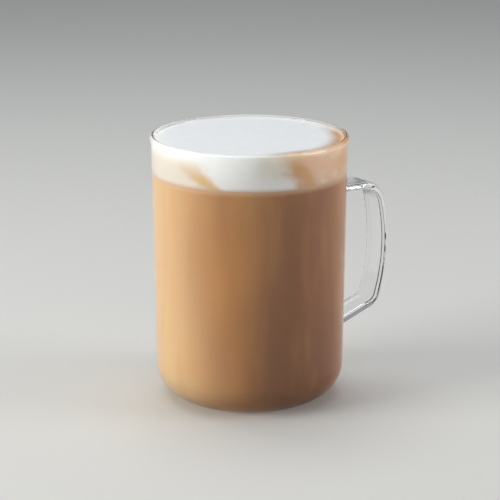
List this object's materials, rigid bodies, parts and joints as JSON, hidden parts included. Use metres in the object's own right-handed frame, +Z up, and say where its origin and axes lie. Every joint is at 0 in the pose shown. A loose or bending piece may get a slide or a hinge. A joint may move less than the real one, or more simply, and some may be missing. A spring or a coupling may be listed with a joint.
{
  "type": "vanilla latte",
  "caption": "Milky coffee with a thick layer of white foam in a clear, straight-sided glass mug with a strap handle, filled to the brim.",
  "frame": {"origin": "on the mug's axis, at the plane that the mug stands on", "axes": "+Z up along the mug's axis, +X from the axis through the middle of the handle, +Y completes a right-handed frame"},
  "size_m": [0.1073, 0.081, 0.11],
  "materials": {
    "clear_glass": "clear, fire polished",
    "milky_coffee": "opaque liquid, warm light brown",
    "milk_foam": "fine matte foam, off-white"
  },
  "bodies": {
    "root": {"glass_mug": "clear_glass", "latte": "milky_coffee", "foam": "milk_foam"}
  },
  "joints": []
}
